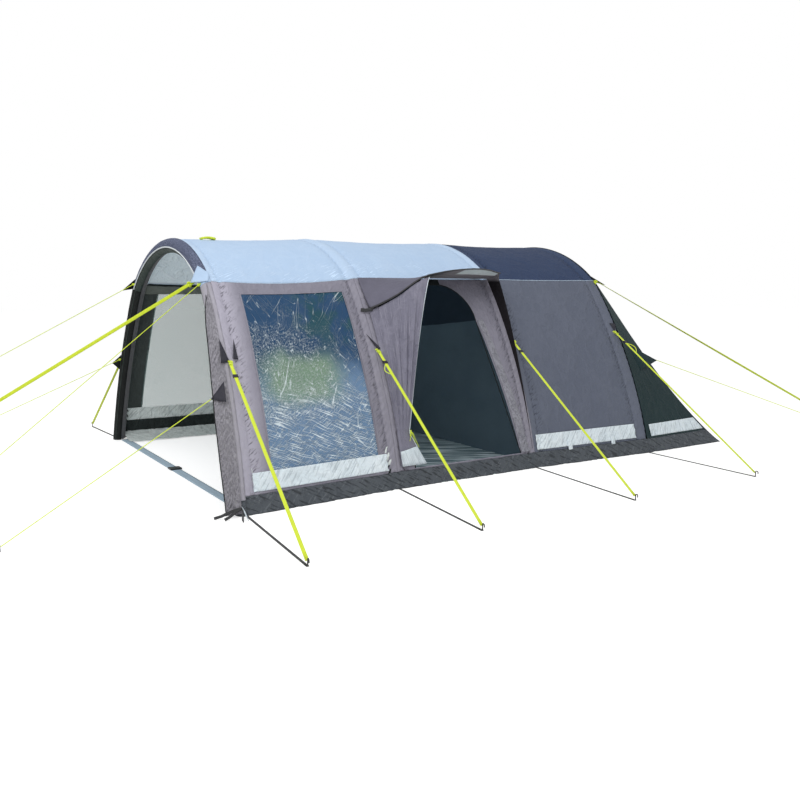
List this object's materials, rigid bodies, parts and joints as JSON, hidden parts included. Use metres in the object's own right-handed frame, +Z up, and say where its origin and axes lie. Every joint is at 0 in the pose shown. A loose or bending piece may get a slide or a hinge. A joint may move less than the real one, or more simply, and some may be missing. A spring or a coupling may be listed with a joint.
{
  "type": "inflatable tunnel tent",
  "caption": "Family tunnel tent on inflated arches, with an open porch, a hooded side door, a rear bedroom, guylines and pegs.",
  "frame": {"origin": "on the ground under the middle of the tent, guylines left out", "axes": "+X from the open front to the rear, -Y the side with the door, +Z up"},
  "size_m": [8.83, 5.7526, 2.02],
  "materials": {
    "tube_cloth": "matt coated cloth sleeve over an air bladder",
    "black_plastic": "matt moulded plastic",
    "silver_cloth": "coated cloth with a soft sheen",
    "navy_cloth": "coated cloth with a soft sheen",
    "mauve_cloth": "coated cloth with a soft sheen",
    "charcoal_cloth": "coated cloth with a soft sheen",
    "green_black_cloth": "coated cloth with a soft sheen",
    "melange_cloth": "matt flecked cloth",
    "clear_film": "clear glossy vinyl film",
    "floor_sheet": "coated groundsheet cloth",
    "bedroom_cloth": "matt breathable cloth",
    "pale_webbing": "woven strap",
    "bright_webbing": "woven line and webbing",
    "black_webbing": "woven strap",
    "peg_steel": "dark painted steel wire"
  },
  "bodies": {
    "tent": {"air_arch_1": "tube_cloth", "air_arch_2": "tube_cloth", "air_arch_3": "tube_cloth", "air_arch_4": "tube_cloth", "hood_pole": "black_plastic", "threshold_joiner": "black_plastic", "roof_front": "silver_cloth", "roof_rear": "navy_cloth", "porch_wall_near": "mauve_cloth", "porch_wall_far": "mauve_cloth", "door_wall": "mauve_cloth", "door_hood": "mauve_cloth", "hood_wing_front": "mauve_cloth", "bedroom_wall_near": "charcoal_cloth", "side_wall_far": "charcoal_cloth", "skirt_near": "charcoal_cloth", "skirt_far": "charcoal_cloth", "rear_side_near": "green_black_cloth", "rear_side_far": "green_black_cloth", "rear_wall": "green_black_cloth", "front_arch_facing": "melange_cloth", "porch_window_near": "clear_film", "porch_window_far": "clear_film", "groundsheet": "floor_sheet", "bedroom_shell": "bedroom_cloth", "bedroom_front": "bedroom_cloth", "threshold_strap": "pale_webbing", "guy_near_1": "bright_webbing", "guy_near_2": "bright_webbing", "guy_near_3": "bright_webbing", "guy_near_4": "bright_webbing", "guy_far_1": "bright_webbing", "guy_front_eave_near": "bright_webbing", "guy_front_storm_near": "bright_webbing", "guy_front_eave_far": "bright_webbing", "guy_front_leg_near": "bright_webbing", "guy_front_leg_far": "bright_webbing", "guy_rear_eave": "bright_webbing", "guy_rear_corner": "bright_webbing", "tie_toggle": "bright_webbing", "ground_strap_near_1": "black_webbing", "ground_strap_near_2": "black_webbing", "ground_strap_near_3": "black_webbing", "ground_strap_near_4": "black_webbing", "ground_strap_far_1": "black_webbing", "peg_front_eave_near": "peg_steel", "peg_front_storm_near": "peg_steel", "peg_front_eave_far": "peg_steel", "peg_front_leg_near": "peg_steel", "peg_front_leg_far": "peg_steel", "peg_rear_eave": "peg_steel", "peg_rear_corner": "peg_steel"},
    "cap_1": {"valve_cap_1": "black_plastic"},
    "cap_2": {"valve_cap_2": "black_plastic"},
    "cap_3": {"valve_cap_3": "black_plastic"},
    "cap_4": {"valve_cap_4": "black_plastic"},
    "slider_1": {"runner_near_1": "black_plastic"},
    "slider_2": {"runner_near_2": "black_plastic"},
    "slider_3": {"runner_near_3": "black_plastic"},
    "slider_4": {"runner_near_4": "black_plastic"}
  },
  "joints": [
    {"name": "valve_cap_1_turn", "type": "hinge", "parent": "tent", "child": "cap_1", "pos_m": [-2.4739, -1.6093, 0.36], "axis": [1, 0, 0], "range_deg": [0, 90]},
    {"name": "valve_cap_2_turn", "type": "hinge", "parent": "tent", "child": "cap_2", "pos_m": [-1.1831, -1.552, 0.36], "axis": [1, 0, 0], "range_deg": [0, 90]},
    {"name": "valve_cap_3_turn", "type": "hinge", "parent": "tent", "child": "cap_3", "pos_m": [0.2479, -1.552, 0.36], "axis": [1, 0, 0], "range_deg": [0, 90]},
    {"name": "valve_cap_4_turn", "type": "hinge", "parent": "tent", "child": "cap_4", "pos_m": [1.409, -1.6102, 0.36], "axis": [-1, 0, 0], "range_deg": [0, 90]},
    {"name": "runner_near_1_slide", "type": "slide", "parent": "tent", "child": "slider_1", "axis": [-0.0889, -0.8363, -0.541], "range_m": [-0.1, 0.35]},
    {"name": "runner_near_2_slide", "type": "slide", "parent": "tent", "child": "slider_2", "axis": [-0.0885, -0.8325, -0.547], "range_m": [-0.1, 0.35]},
    {"name": "runner_near_3_slide", "type": "slide", "parent": "tent", "child": "slider_3", "axis": [-0.0803, -0.8298, -0.5523], "range_m": [-0.1, 0.35]},
    {"name": "runner_near_4_slide", "type": "slide", "parent": "tent", "child": "slider_4", "axis": [-0.0091, -0.8241, -0.5664], "range_m": [-0.1, 0.35]}
  ]
}
